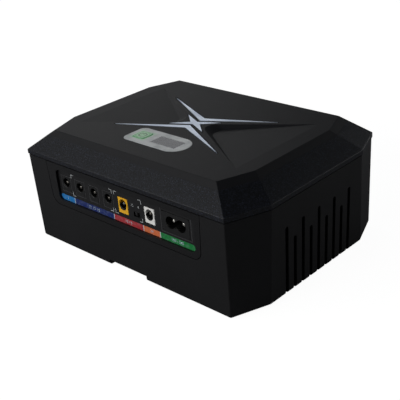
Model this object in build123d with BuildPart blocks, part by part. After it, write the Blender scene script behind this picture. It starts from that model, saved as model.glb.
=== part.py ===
from build123d import *

import os
from math import atan2, degrees, hypot, radians, tan

# A mains-fed battery power box: a drafted lower shell, a sloped cover with a sunken X relief,
# a port panel with six low-voltage sockets, a slide switch and a mains inlet, and a lit key
# beside a small display.
# +X runs along the port side to the right, the ports face -Y, +Z is up.
# The origin is on the surface the feet stand on, under the middle of the case.

# ---------------------------------------------------------------- case sizes
case_width = 205.0
case_depth = 150.5
shell_height = 64.5
rim_height = 3.8
slope_rise = 13.0
slope_run_x = 19.0
slope_run_y = 14.3
corner_cut = 11.0  # run of a cut corner along X, at the rim
corner_ratio = 2.6  # run of a cut corner along Y over its run along X
top_cut = 9.2
base_cut = 10.0
draft_x = 1.9  # how much narrower each side is at the bottom
draft_y = 0.7
wall = 2.5
reveal = 0.4  # the rim stands this far proud of the shell
shadow_gap = 0.8  # open groove under the rim
shadow_depth = 1.4
lip_depth = 3.0
lip_wall = 1.4
fit_gap = 0.2  # between moulded pieces that slot together
edge_round = 2.2
side_round = 1.0
cover_round = 0.6  # all outer edges of the cover
edge_break = 0.35  # broken edges of small moulded and pressed pieces

foot_height = 2.0
foot_radius = 6.5
foot_recess = 0.8
foot_x = 66.0
foot_y = 56.0

notch_width = 36.0
notch_height = 3.9
notch_depth = 11.0

vent_count = 9
vent_pitch = 8.1
vent_width = 2.9
vent_long = 47.5  # height of a long slot's top above the shell's underside
vent_short = 37.8
vent_return = 8.0  # how far a slot runs in under the floor

# ---------------------------------------------------------------- case screws
post_x = 86.0
post_y = 57.5
boss_radius = 4.2
boss_height = 14.0
cover_post_radius = 3.9
screw_radius = 1.5
screw_clearance = 0.2
screw_head_radius = 2.75
screw_head_height = 2.2
screw_seat = 9.0  # height of the screw head's seat above the shell's underside
screw_length = 12.0
thread_gap = 0.05

# ---------------------------------------------------------------- cover relief and inlays
relief_base = 72.0  # the sunken facets start this far from the middle
relief_half = 42.0
relief_point = 3.0  # sharp apex of a facet's rim, before it is rounded
relief_depth = 2.8
relief_floor_point = 13.0
relief_floor_half = 41.6
relief_round = 7.5
relief_over = 0.5

inlay_tip_x = 47.3
inlay_tip_y = 30.2
inlay_outer = 9.7
inlay_inner = 4.9
star_tip_x = 15.2
star_tip_y = 9.4
star_waist_x = 4.2
star_waist_y = 2.3
inlay_thickness = 0.9
inlay_groove = 0.7
inlay_seat = 0.8  # depth of the grooves that the inlays lie in

# ---------------------------------------------------------------- display and key
lens_left = -24.4
lens_right = 26.6
lens_depth = 21.8
lens_y = -35.0
lens_corner = 5.0
lens_thickness = 1.2
lens_seat = 1.0
lens_gap = 0.15
window_margin = 2.4

lcd_x = 8.8
lcd_width = 21.5
lcd_depth = 10.5
lcd_glass_height = 1.6
lcd_light_height = 3.4

key_x = -14.4
key_width = 10.4
key_depth = 10.4
key_corner = 1.6
key_gap = 0.3
key_travel = 0.5
key_flange = 0.9  # how far the flange stands out all round
key_flange_height = 0.8
key_stem_radius = 1.6
plunger_radius = 1.7
plunger_height = 1.4
switch_size = 6.0
switch_height = 3.4

display_board_width = 60.0
display_board_depth = 30.0
board_thickness = 1.6
small_screw_radius = 1.1
small_screw_head = 2.0
small_screw_head_height = 1.3
small_screw_length = 5.0
small_boss_radius = 2.6

# ---------------------------------------------------------------- port panel
panel_top_width = 143.4
panel_base_width = 139.8
panel_low = 33.2  # height of the panel's lower edge above the shell's underside
panel_corner = 6.5
panel_gap = 0.5
panel_flange = 2.2
flange_thickness = 1.6
label_left = -63.0
label_right = 66.4
label_low = 37.2
label_high = 60.1
label_corner = 3.6
label_depth = 2.2
label_thickness = 0.3

jack_pitch = 14.3
jack_first_x = -54.8
jack_count = 5  # in the evenly spaced row, the fifth one is the yellow jack
white_jack_x = 26.8
jack_width = 9.0
jack_length = 14.0
jack_height = 11.0
jack_bore_height = 6.5
jack_bore_radius = 3.15
jack_bore_depth = 9.6
jack_pin_radius = 1.05
jack_pin_setback = 0.8
jack_proud = 0.15
jack_low = 44.6  # underside of the jacks above the shell's underside
port_gap = 0.15

slide_x = 15.0
slide_z = 47.3
slide_width = 5.8
slide_window = 3.4
slide_travel = 2.0
slide_knob_width = 2.0
slide_knob_height = 2.2
slide_knob_setback = 0.4  # the knob's tip lies this far in from the label's face
slide_case_width = 8.6
slide_case_height = 4.4
slide_case_depth = 4.0
slide_metal = 0.3

inlet_x = 49.7
inlet_z = 51.0
inlet_width = 22.6
inlet_height = 12.8
inlet_depth = 19.0
inlet_pin_spacing = 8.6
inlet_lobe_radius = 4.15
inlet_web = 5.4
inlet_cavity = 12.5
inlet_pin_radius = 1.2
inlet_pin_length = 10.0
inlet_tail = 6.0

# ---------------------------------------------------------------- boards and battery pack
output_board_left = -66.0
output_board_right = 36.6
output_board_depth = 26.0
board_edge = 2.8  # from a board's edge to its screws
standoff_radius = 3.0

power_board_left = -6.0
power_board_right = 80.0
power_board_front = -36.0
power_board_back = 62.0
power_board_lift = 6.0
power_standoff_radius = 3.4

cell_radius = 9.2
cell_length = 65.0
cell_pitch = 19.4
cell_columns = 5
cell_layers = 2
cell_gap = 0.15
pack_left = -79.0
pack_middle_y = 10.5
holder_thickness = 7.0
holder_margin = 1.2
nickel_thickness = 0.3
nickel_width = 7.0
protection_depth = 66.0
protection_thickness = 1.2
rib_height = 7.0
rib_width = 1.6

lead_radius = 0.9

# ---------------------------------------------------------------- parts on the power board
transformer_place = (24.0, 26.0)
transformer_width = 33.0
transformer_depth = 11.0
transformer_height = 27.0
choke_place = (8.0, -18.0)
choke_width = 17.0
choke_depth = 6.0
choke_height = 16.0
terminal_depth = 8.0
terminal_height = 10.0
mains_terminal_width = 18.0
mains_terminal_inset = 9.0  # from the board's front edge
output_terminal_width = 14.0
output_terminal_inset = 8.0  # from the board's back edge
output_terminal_x = 8.0
filter_place = (29.0, -14.0)
filter_size = (18.0, 8.0, 15.0)
rectifier_place = (48.0, -12.0)
rectifier_size = (20.0, 4.4, 15.0)
bulk_place = (63.0, 6.0)
bulk_radius = 11.0
bulk_height = 35.0
output_can_first = (30.0, 52.0)
output_can_pitch = 11.5
output_can_count = 3
output_can_radius = 5.0
output_can_height = 20.0
fuse_x = 26.0
fuse_inset = 8.0  # from the board's front edge
fuse_radius = 2.6
fuse_length = 20.0
fuse_axis = 5.0  # height of the fuse's axis above the board
clip_width = 4.0
clip_side = 0.6
sink_height = 34.0
sink_length = 32.0
sink_base = 3.0
fin_count = 6
fin_depth = 6.0
right_sink = (68.0, 34.0)
left_sink = (1.0, 20.0)
transistor_width = 10.0
transistor_thickness = 4.5
transistor_height = 16.0
transistor_lift = 4.0
left_transistor_y = 8.0

# ---------------------------------------------------------------- worked-out levels
shell_base = foot_height
inner_floor = shell_base + wall
parting = shell_base + shell_height
rim_top = parting + rim_height
cover_top = rim_top + slope_rise
mouth_width = case_width - 2 * reveal
mouth_depth = case_depth - 2 * reveal
base_width = mouth_width - 2 * draft_x
base_depth = mouth_depth - 2 * draft_y
top_width = case_width - 2 * slope_run_x
top_depth = case_depth - 2 * slope_run_y
lip_inset = reveal + wall + fit_gap
boss_top = shell_base + boss_height
label_face = mouth_depth / 2 - label_depth + label_thickness
panel_back = mouth_depth / 2 - wall - draft_y
jack_base = shell_base + jack_low
jack_face = label_face + jack_proud
jack_xs = [jack_first_x + jack_pitch * i for i in range(jack_count)] + [white_jack_x]
bore_z = jack_base + jack_bore_height
board_top = jack_base
output_board_front = panel_back - flange_thickness - fit_gap
front = Plane.XZ
down = Plane(origin=(0, 0, shell_base), x_dir=(1, 0, 0), z_dir=(0, 0, -1))

os.makedirs("parts", exist_ok=True)


def keep(piece, name):
    """Label a finished piece and write it."""
    piece.part.label = name
    export_step(piece.part, f"parts/{name}.step")


def cut_corners(width, depth, cut, inset=0.0):
    """Give the eight corners of a rectangle with its corners cut off, set in all round."""
    x, y = width / 2 - inset, depth / 2 - inset
    run_x = cut - inset * (1 - (hypot(1, corner_ratio) - 1) / corner_ratio)
    run_y = run_x * corner_ratio
    half = [(x - run_x, -y), (x, run_y - y), (x, y - run_y), (x - run_x, y)]
    return half + [(-px, -py) for px, py in half]


def octagon(width, depth, cut, inset=0.0):
    """Draw a rectangle with its corners cut off, set in all round."""
    Polygon(*cut_corners(width, depth, cut, inset), align=None)


def tapered(low, low_z, high, high_z):
    """Return the flat-sided solid between two outlines of as many corners."""
    floor = [Vector(x, y, low_z) for x, y in low]
    roof = [Vector(x, y, high_z) for x, y in high]
    faces = [Face(Wire.make_polygon(floor)), Face(Wire.make_polygon(roof))]
    for here in range(len(floor)):
        after = (here + 1) % len(floor)
        faces.append(Face(Wire.make_polygon([floor[here], floor[after], roof[after], roof[here]])))
    return Solid(Shell(faces))


def shell_corners(height, inset=0.0):
    """Give the corners of the lower shell at a height above its underside."""
    share = height / shell_height
    return cut_corners(
        base_width + 2 * draft_x * share,
        base_depth + 2 * draft_y * share,
        base_cut + (corner_cut - base_cut) * share,
        inset,
    )


def four_corners(x, y):
    """Give the four mirrored places of a point."""
    return [(x, y), (-x, y), (-x, -y), (x, -y)]


def panel_shape(grow, high):
    """Return the port panel's U outline grown by a margin, up to a height."""
    half_top = panel_top_width / 2 + grow
    half_low = panel_base_width / 2 + grow
    low = shell_base + panel_low - grow
    with BuildSketch() as shape:
        Polygon((-half_low, low), (half_low, low), (half_top, high), (-half_top, high), align=None)
        fillet(shape.vertices().sort_by(Axis.Y)[:2], radius=panel_corner + grow)
    return shape.sketch


def label_shape(grow=0.0):
    """Return the outline of the sunken label area."""
    with BuildSketch() as shape:
        middle = ((label_left + label_right) / 2, shell_base + (label_low + label_high) / 2)
        with Locations(middle):
            RectangleRounded(
                label_right - label_left + 2 * grow,
                label_high - label_low + 2 * grow,
                label_corner + grow,
            )
    return shape.sketch


def port_holes(gap):
    """Return the outlines of the holes for the jacks, the slide switch and the inlet."""
    with BuildSketch() as shape:
        with Locations(*[(x, jack_base + jack_height / 2) for x in jack_xs]):
            Rectangle(jack_width + 2 * gap, jack_height + 2 * gap)
        with Locations((slide_x, shell_base + slide_z)):
            Rectangle(slide_width, slide_window)
        with Locations((inlet_x, shell_base + inlet_z)):
            Rectangle(inlet_width + 2 * gap, inlet_height + 2 * gap)
    return shape.sketch


def cover_block():
    """Return the cover's outer shape, carried down to the shell's underside."""
    rim = cut_corners(case_width, case_depth, corner_cut)
    with BuildPart() as block:
        add(tapered(rim, shell_base, rim, rim_top))
        add(tapered(rim, rim_top, cut_corners(top_width, top_depth, top_cut), cover_top))
        soft = block.edges().filter_by(lambda edge: edge.center().Z > shell_base + edge_break)
        fillet(soft, radius=cover_round)
    return block.part


def shell_block(inset=0.0, floor=0.0):
    """Return the lower shell's outer shape, or its hollow when set in from the walls and floor."""
    return tapered(
        shell_corners(floor, inset), shell_base + floor, shell_corners(shell_height, inset), parting
    )


def shadow_shape():
    """Return the outline inside the groove under the rim."""
    with BuildSketch() as shape:
        octagon(case_width, case_depth, corner_cut, shadow_depth)
    return shape.sketch


def relief_pocket(drop=0.0, grow=0.0):
    """Return the right-hand sunken facet as a solid to cut away, or dropped for its backing."""
    base_x = relief_base + grow
    slope = degrees(atan2(relief_depth, relief_base - relief_floor_point - relief_round))
    tilted = Plane(origin=(relief_base, 0, cover_top - drop)).rotated((0, -slope, 0))
    with BuildPart() as pocket:
        with BuildSketch(tilted) as low:
            Polygon(
                (grow, relief_floor_half + grow),
                (relief_floor_point - relief_base - grow, 0),
                (grow, -relief_floor_half - grow),
                align=None,
            )
            fillet(low.vertices().sort_by(Axis.X)[0], radius=relief_round)
        with BuildSketch(Plane.XY.offset(cover_top + relief_over - drop)) as high:
            Polygon(
                (base_x, relief_half + grow),
                (relief_point - grow, 0),
                (base_x, -relief_half - grow),
                align=None,
            )
            fillet(high.vertices().sort_by(Axis.X)[0], radius=relief_round)
        loft(ruled=True)
    return pocket.part


def chevron_shape(side, grow=0.0):
    """Return one long inlay: a thin V with its point towards the middle."""
    with BuildSketch() as shape:
        Polygon(
            (-inlay_tip_x, side * inlay_tip_y),
            (0, side * inlay_outer),
            (inlay_tip_x, side * inlay_tip_y),
            (0, side * inlay_inner),
            align=None,
        )
        if grow:
            offset(amount=grow)
    return shape.sketch


def star_shape(grow=0.0):
    """Return the four-pointed star between the two long inlays."""
    with BuildSketch() as shape:
        Polygon(
            (star_tip_x, star_tip_y),
            (0, star_waist_y),
            (-star_tip_x, star_tip_y),
            (-star_waist_x, 0),
            (-star_tip_x, -star_tip_y),
            (0, -star_waist_y),
            (star_tip_x, -star_tip_y),
            (star_waist_x, 0),
            align=None,
        )
        if grow:
            offset(amount=grow)
    return shape.sketch


def lens_shape(grow=0.0):
    """Return the lens outline: a half-round right end and two rounded left corners."""
    width, depth = lens_right - lens_left + 2 * grow, lens_depth + 2 * grow
    with BuildSketch() as shape:
        with Locations(((lens_left + lens_right) / 2, lens_y)):
            Rectangle(width, depth)
        fillet(shape.vertices().sort_by(Axis.X)[:2], radius=lens_corner + grow)
        fillet(shape.vertices().sort_by(Axis.X)[-2:], radius=depth / 2 - 0.01)
    return shape.sketch


def screws(places, seat, radius, length, head_radius, head_height, direction):
    """Return screws whose heads rest on a seat height, shafts pointing up or down."""
    with BuildPart() as group:
        with BuildSketch(Plane.XY.offset(seat)):
            with Locations(*places):
                Circle(radius)
        extrude(amount=direction * length)
        with BuildSketch(Plane.XY.offset(seat)):
            with Locations(*places):
                Circle(head_radius)
        extrude(amount=-direction * head_height)
        tops = group.faces().filter_by(Plane.XY).sort_by(Axis.Z)
        crowns = tops[: len(places)] if direction > 0 else tops[-len(places) :]
        fillet(crowns.edges(), radius=head_height / 3)
        recess = group.faces().filter_by(Plane.XY).sort_by(Axis.Z)
        recess_z = recess[0].center().Z if direction > 0 else recess[-1].center().Z
        with BuildSketch(Plane.XY.offset(recess_z)):
            with Locations(*places):
                Rectangle(head_radius * 1.2, head_radius * 0.24)
                Rectangle(head_radius * 0.24, head_radius * 1.2)
        extrude(amount=direction * head_height / 2, mode=Mode.SUBTRACT)
    return group


# ---------------------------------------------------------------- shapes used more than once
outer_cover = cover_block()
outer_shell = shell_block()
panel_opening = panel_shape(panel_gap, parting + wall)
panel_plate = panel_shape(0.0, parting - fit_gap)
panel_lip = panel_shape(panel_flange, parting - lip_depth - fit_gap)
label_recess = label_shape()
label_sheet = label_shape(-port_gap)
holes_in_panel = port_holes(port_gap)
shadow_core = shadow_shape()
relief_cut = relief_pocket()
relief_backing = relief_pocket(wall, wall)
back_inlay = chevron_shape(1)
front_inlay = chevron_shape(-1)
star_inlay = star_shape()
relief_cut_left = relief_cut.mirror(Plane.YZ)
relief_backing_left = relief_backing.mirror(Plane.YZ)
inlay_grooves = [chevron_shape(1, inlay_groove), chevron_shape(-1, inlay_groove), star_shape(inlay_groove)]
lens_face = lens_shape()
lens_pocket = lens_shape(lens_gap)
lens_window = lens_shape(-window_margin)
key_centre = (key_x, lens_y)
lcd_centre = (lcd_x, lens_y)
case_screw_places = four_corners(post_x, post_y)
foot_places = four_corners(foot_x, foot_y)

output_board_x = (output_board_left + output_board_right) / 2
output_board_width = output_board_right - output_board_left
output_board_y = output_board_depth / 2 - output_board_front
output_screw_places = [
    (output_board_x + x, output_board_y + y)
    for x, y in four_corners(output_board_width / 2 - board_edge, output_board_depth / 2 - board_edge)
]
power_board_x = (power_board_left + power_board_right) / 2
power_board_y = (power_board_front + power_board_back) / 2
power_board_width = power_board_right - power_board_left
power_board_length = power_board_back - power_board_front
power_board_low = inner_floor + power_board_lift
power_screw_places = [
    (power_board_x + x, power_board_y + y)
    for x, y in four_corners(power_board_width / 2 - board_edge, power_board_length / 2 - board_edge)
]
pack_depth = cell_columns * cell_pitch + 2 * holder_margin
pack_height = cell_layers * cell_pitch + 2 * holder_margin
pack_middle_x = pack_left + cell_length / 2
output_board_low = board_top - board_thickness

# ---------------------------------------------------------------- lower shell
with BuildPart() as lower_shell:
    add(outer_shell)
    upright = lower_shell.edges().filter_by(lambda edge: abs(edge.tangent_at(0).Z) > 0.9)
    fillet(upright, radius=side_round)
    fillet(lower_shell.edges().group_by(Axis.Z)[0], radius=edge_round)
    add(shell_block(wall, wall), mode=Mode.SUBTRACT)

    # Bosses for the case screws, standoffs for both boards and ribs round the battery pack
    with BuildSketch(Plane.XY.offset(inner_floor)):
        with Locations(*case_screw_places):
            Circle(boss_radius)
    extrude(amount=boss_top - inner_floor)
    with BuildSketch(Plane.XY.offset(inner_floor)):
        with Locations(*output_screw_places):
            Circle(standoff_radius)
    extrude(amount=output_board_low - inner_floor)
    with BuildSketch(Plane.XY.offset(inner_floor)):
        with Locations(*power_screw_places):
            Circle(power_standoff_radius)
    extrude(amount=power_board_lift)
    rib_y = pack_depth / 2 + fit_gap + rib_width / 2
    with BuildSketch(Plane.XY.offset(inner_floor)):
        with Locations((pack_middle_x, pack_middle_y - rib_y), (pack_middle_x, pack_middle_y + rib_y)):
            Rectangle(cell_length, rib_width)
    extrude(amount=rib_height)

    # The notch in the front edge of the underside, closed above by a raised floor
    notch_back = base_depth / 2 - notch_depth
    with BuildSketch(Plane.XY.offset(inner_floor)):
        with Locations((0, -(notch_back + base_depth / 2 - wall) / 2)):
            Rectangle(notch_width + 2 * wall, base_depth / 2 - wall - notch_back + wall)
    extrude(amount=notch_height)
    with BuildSketch(Plane.XY.offset(shell_base)):
        with Locations((0, -notch_back - notch_depth)):
            Rectangle(notch_width, 2 * notch_depth)
    extrude(amount=notch_height, mode=Mode.SUBTRACT)

    # Cooling slots, long and short by turns, open through the bottom edge of both sides
    slot_reach = (case_width - base_width) / 2 + vent_return
    for side in (-1, 1):
        with BuildSketch(Plane.YZ.offset(side * case_width / 2)):
            for index in range(vent_count):
                slot_y = (index - (vent_count - 1) / 2) * vent_pitch
                slot_top = vent_short if index % 2 else vent_long
                with Locations((slot_y, shell_base + (slot_top - vent_width) / 2)):
                    SlotOverall(slot_top + vent_width, vent_width, rotation=90)
        extrude(amount=-side * slot_reach, mode=Mode.SUBTRACT)

    # The opening for the port panel
    with BuildSketch(front.offset(panel_back - flange_thickness)):
        add(panel_opening)
    extrude(amount=case_depth, mode=Mode.SUBTRACT)

    # Screw holes and the shallow seats of the feet
    with Locations(down):
        with Locations(*case_screw_places):
            CounterBoreHole(
                radius=screw_radius + screw_clearance,
                counter_bore_radius=screw_head_radius + 2 * screw_clearance,
                counter_bore_depth=screw_seat,
                depth=boss_height,
            )
        with Locations(*foot_places):
            Hole(radius=foot_radius + fit_gap, depth=foot_recess)
    with BuildSketch(Plane.XY.offset(output_board_low)):
        with Locations(*output_screw_places):
            Circle(small_screw_radius + thread_gap)
    extrude(amount=-small_screw_length, mode=Mode.SUBTRACT)
    with BuildSketch(Plane.XY.offset(power_board_low)):
        with Locations(*power_screw_places):
            Circle(small_screw_radius + thread_gap)
    extrude(amount=-small_screw_length, mode=Mode.SUBTRACT)
keep(lower_shell, "lower_shell")

# ---------------------------------------------------------------- upper cover
ledge_z = cover_top - lens_seat
glass_top = cover_top - wall
display_board_top = glass_top - lcd_glass_height - lcd_light_height
display_board_low = display_board_top - board_thickness
display_board_x = (lens_left + lens_right) / 2
display_screw_places = [
    (display_board_x + x, lens_y + y)
    for x, y in four_corners(
        display_board_width / 2 - small_boss_radius, display_board_depth / 2 - small_boss_radius
    )
]

lip_corners = cut_corners(case_width, case_depth, corner_cut, lip_inset + lip_wall)
roof_corners = cut_corners(top_width, top_depth, top_cut, wall / 3)
cover_hollow = tapered(lip_corners, rim_top, roof_corners, cover_top - wall)
with BuildPart() as upper_cover:
    add(outer_cover)
    split(bisect_by=Plane.XY.offset(parting), keep=Keep.TOP)

    # A lip that goes down inside the shell's mouth, and the hollow inside
    with BuildSketch(Plane.XY.offset(parting)):
        octagon(case_width, case_depth, corner_cut, lip_inset)
    extrude(amount=-lip_depth)
    with BuildSketch(Plane.XY.offset(parting - lip_depth)):
        octagon(case_width, case_depth, corner_cut, lip_inset + lip_wall)
    extrude(amount=lip_depth + rim_height, mode=Mode.SUBTRACT)
    add(cover_hollow, mode=Mode.SUBTRACT)

    # Backing under the sunken facets, the display bosses and the long screw posts
    add(relief_backing)
    add(relief_backing_left)
    with BuildSketch(Plane.XY.offset(display_board_top)):
        with Locations(*display_screw_places):
            Circle(small_boss_radius)
    extrude(amount=glass_top - display_board_top)
    with BuildSketch(Plane.XY.offset(boss_top)):
        with Locations(*case_screw_places):
            Circle(cover_post_radius)
    extrude(amount=cover_top - boss_top)
    add(outer_cover, mode=Mode.INTERSECT)

    # The shadow groove under the rim
    with BuildSketch(Plane.XY.offset(parting)):
        octagon(case_width + wall, case_depth + wall, corner_cut)
        add(shadow_core, mode=Mode.SUBTRACT)
    extrude(amount=shadow_gap, mode=Mode.SUBTRACT)

    # The sunken facets, the grooves of the inlays, the lens seat and its window
    add(relief_cut, mode=Mode.SUBTRACT)
    add(relief_cut_left, mode=Mode.SUBTRACT)
    with BuildSketch(Plane.XY.offset(cover_top)):
        for outline in inlay_grooves:
            add(outline)
    extrude(amount=-inlay_seat, mode=Mode.SUBTRACT)
    with BuildSketch(Plane.XY.offset(cover_top)):
        add(lens_pocket)
    extrude(amount=-lens_seat, mode=Mode.SUBTRACT)
    with BuildSketch(Plane.XY.offset(cover_top)):
        add(lens_window)
    extrude(amount=-2 * wall, mode=Mode.SUBTRACT)

    # Pilot holes for the case screws and the display board's screws
    with BuildSketch(Plane.XY.offset(boss_top)):
        with Locations(*case_screw_places):
            Circle(screw_radius + thread_gap)
    extrude(amount=screw_length, mode=Mode.SUBTRACT)
    with BuildSketch(Plane.XY.offset(display_board_top)):
        with Locations(*display_screw_places):
            Circle(small_screw_radius + thread_gap)
    extrude(amount=small_screw_length - board_thickness, mode=Mode.SUBTRACT)
keep(upper_cover, "upper_cover")

# ---------------------------------------------------------------- inlays of the X relief
inlay_base = cover_top - inlay_seat
for inlay_name, outline in (
    ("inlay_back", back_inlay),
    ("inlay_front", front_inlay),
    ("inlay_star", star_inlay),
):
    with BuildPart() as inlay:
        with BuildSketch(Plane.XY.offset(inlay_base)):
            add(outline)
        extrude(amount=inlay_thickness)
    keep(inlay, inlay_name)

# ---------------------------------------------------------------- lens, display and key
key_hole = (key_width + 2 * key_gap, key_depth + 2 * key_gap)
with BuildPart() as display_lens:
    with BuildSketch(Plane.XY.offset(ledge_z)):
        add(lens_face)
    extrude(amount=lens_thickness)
    chamfer(display_lens.edges().group_by(Axis.Z)[-1], length=lens_gap)
    with BuildSketch(Plane.XY.offset(ledge_z)):
        with Locations(key_centre):
            RectangleRounded(*key_hole, key_corner + key_gap)
    extrude(amount=lens_thickness, mode=Mode.SUBTRACT)
keep(display_lens, "display_lens")

with BuildPart() as lcd_glass:
    with BuildSketch(Plane.XY.offset(glass_top - lcd_glass_height)):
        with Locations(lcd_centre):
            Rectangle(lcd_width, lcd_depth)
    extrude(amount=lcd_glass_height)
    chamfer(lcd_glass.edges().filter_by(Axis.Z), length=lcd_glass_height / 4)
keep(lcd_glass, "lcd_glass")

with BuildPart() as lcd_backlight:
    with BuildSketch(Plane.XY.offset(display_board_top)):
        with Locations(lcd_centre):
            Rectangle(lcd_width + 2, lcd_depth + 2)
    extrude(amount=lcd_light_height)
    chamfer(lcd_backlight.edges().group_by(Axis.Z)[-1], length=lens_gap)
keep(lcd_backlight, "lcd_backlight")

with BuildPart() as display_board:
    with BuildSketch(Plane.XY.offset(display_board_low)):
        with Locations((display_board_x, lens_y)):
            RectangleRounded(display_board_width, display_board_depth, small_boss_radius)
        with Locations(*display_screw_places):
            Circle(small_screw_radius + screw_clearance, mode=Mode.SUBTRACT)
    extrude(amount=board_thickness)
keep(display_board, "display_board")

display_screws = screws(
    display_screw_places, display_board_low, small_screw_radius,
    small_screw_length, small_screw_head, small_screw_head_height, 1,
)
keep(display_screws, "display_screws")

with BuildPart() as key_switch:
    with BuildSketch(Plane.XY.offset(display_board_top)):
        with Locations(key_centre):
            Rectangle(switch_size, switch_size)
    extrude(amount=switch_height - plunger_height)
    chamfer(key_switch.edges().group_by(Axis.Z)[-1], length=lens_gap)
    with BuildSketch(Plane.XY.offset(display_board_top + board_thickness / 2)):
        with Locations(key_centre):
            Circle(plunger_radius + thread_gap)
    extrude(amount=switch_height, mode=Mode.SUBTRACT)
keep(key_switch, "key_switch")

plunger_low = display_board_top + board_thickness / 2 + key_travel + thread_gap
plunger_top = display_board_top + switch_height
with BuildPart() as key_plunger:
    with BuildSketch(Plane.XY.offset(plunger_low)):
        with Locations(key_centre):
            Circle(plunger_radius)
    extrude(amount=plunger_top - plunger_low)
    chamfer(key_plunger.edges().group_by(Axis.Z)[-1], length=lens_gap)
keep(key_plunger, "key_plunger")

led_places = [(key_x - switch_size, lens_y), (key_x + switch_size, lens_y)]
with BuildPart() as key_lamps:
    with BuildSketch(Plane.XY.offset(display_board_top)):
        with Locations(*led_places):
            Rectangle(board_thickness, 2 * board_thickness)
    extrude(amount=board_thickness / 2)
    chamfer(key_lamps.edges().group_by(Axis.Z)[-1], length=lens_gap)
keep(key_lamps, "key_lamps")

key_flange_top = ledge_z
key_skirt_low = key_flange_top - key_flange_height
with BuildPart() as power_key:
    with BuildSketch(Plane.XY.offset(key_skirt_low)):
        with Locations(key_centre):
            RectangleRounded(
                key_width + 2 * key_flange, key_depth + 2 * key_flange, key_corner + key_flange
            )
    extrude(amount=key_flange_height)
    with BuildSketch(Plane.XY.offset(key_flange_top)):
        with Locations(key_centre):
            RectangleRounded(key_width, key_depth, key_corner)
    extrude(amount=lens_thickness + edge_break)
    fillet(power_key.edges().group_by(Axis.Z)[-1], radius=edge_break)
    with BuildSketch(Plane.XY.offset(plunger_top)):
        with Locations(key_centre):
            Circle(key_stem_radius)
    extrude(amount=key_skirt_low - plunger_top)
keep(power_key, "power_key")

# ---------------------------------------------------------------- port panel and its label
label_floor = label_face - label_thickness
with BuildPart() as port_panel:
    with BuildSketch(front.offset(panel_back)):
        add(panel_plate)
    extrude(amount=case_depth / 2 - panel_back)
    add(outer_shell, mode=Mode.INTERSECT)
    with BuildSketch(front.offset(panel_back - flange_thickness)):
        add(panel_lip)
    extrude(amount=flange_thickness)
    with BuildSketch(front.offset(label_floor)):
        add(label_recess)
    extrude(amount=case_depth, mode=Mode.SUBTRACT)
    with BuildSketch(front.offset(panel_back - flange_thickness)):
        add(holes_in_panel)
    extrude(amount=case_depth, mode=Mode.SUBTRACT)
    # Room for the cover's lip behind the upper edge
    with BuildSketch(Plane.XY.offset(parting - lip_depth - fit_gap)):
        Rectangle(case_width, mouth_depth - 2 * wall)
    extrude(amount=lip_depth + wall, mode=Mode.SUBTRACT)
keep(port_panel, "port_panel")

with BuildPart() as port_label:
    with BuildSketch(front.offset(label_floor)):
        add(label_sheet)
        add(holes_in_panel, mode=Mode.SUBTRACT)
    extrude(amount=label_thickness)
keep(port_label, "port_label")

# ---------------------------------------------------------------- low-voltage jacks
bore_floor = jack_face - jack_bore_depth
bore_break = min(edge_break, (jack_width / 2 - jack_bore_radius - edge_break) / 2)
for index, jack_x in enumerate(jack_xs, start=1):
    with BuildPart() as jack:
        with BuildSketch(front.offset(jack_face - jack_length)):
            with Locations((jack_x, jack_base + jack_height / 2)):
                Rectangle(jack_width, jack_height)
        extrude(amount=jack_length)
        chamfer(jack.edges().filter_by(Axis.Z), length=edge_break)
        with BuildSketch(front.offset(bore_floor)):
            with Locations((jack_x, bore_z)):
                Circle(jack_bore_radius)
        extrude(amount=jack_bore_depth, mode=Mode.SUBTRACT)
        chamfer(jack.faces().sort_by(Axis.Y)[0].inner_wires().edges(), length=bore_break)
        # A slot under the bore for the spring contact, and the bore of the pin
        with BuildSketch(front.offset(bore_floor)):
            with Locations((jack_x, bore_z - jack_bore_radius)):
                Rectangle(2 * jack_pin_radius + fit_gap, 2 * jack_pin_radius)
        extrude(amount=jack_bore_depth - 2 * jack_pin_setback, mode=Mode.SUBTRACT)
        with BuildSketch(front.offset(jack_face - jack_length)):
            with Locations((jack_x, bore_z)):
                Circle(jack_pin_radius + thread_gap)
        extrude(amount=jack_length - jack_bore_depth, mode=Mode.SUBTRACT)
    keep(jack, f"jack_body_{index}")

with BuildPart() as jack_pins:
    with BuildSketch(front.offset(jack_face - jack_length)):
        with Locations(*[(x, bore_z) for x in jack_xs]):
            Circle(jack_pin_radius)
    extrude(amount=jack_length - jack_pin_setback)
    tips = jack_pins.faces().filter_by(Plane.XZ).group_by(Axis.Y)[0]
    fillet(tips.edges(), radius=jack_pin_radius / 2)
keep(jack_pins, "jack_pins")

contact_length = jack_bore_depth - 3 * jack_pin_setback
with BuildPart() as jack_contacts:
    with BuildSketch(front.offset(bore_floor)):
        with Locations(*[(x, bore_z - jack_bore_radius) for x in jack_xs]):
            Rectangle(2 * jack_pin_radius, slide_metal)
    extrude(amount=contact_length)
    with BuildSketch(front.offset(bore_floor)):
        with Locations(*[(x, bore_z - jack_bore_radius - jack_pin_radius / 2) for x in jack_xs]):
            Rectangle(2 * jack_pin_radius, jack_pin_radius)
    extrude(amount=slide_metal)
keep(jack_contacts, "jack_contacts")

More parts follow.
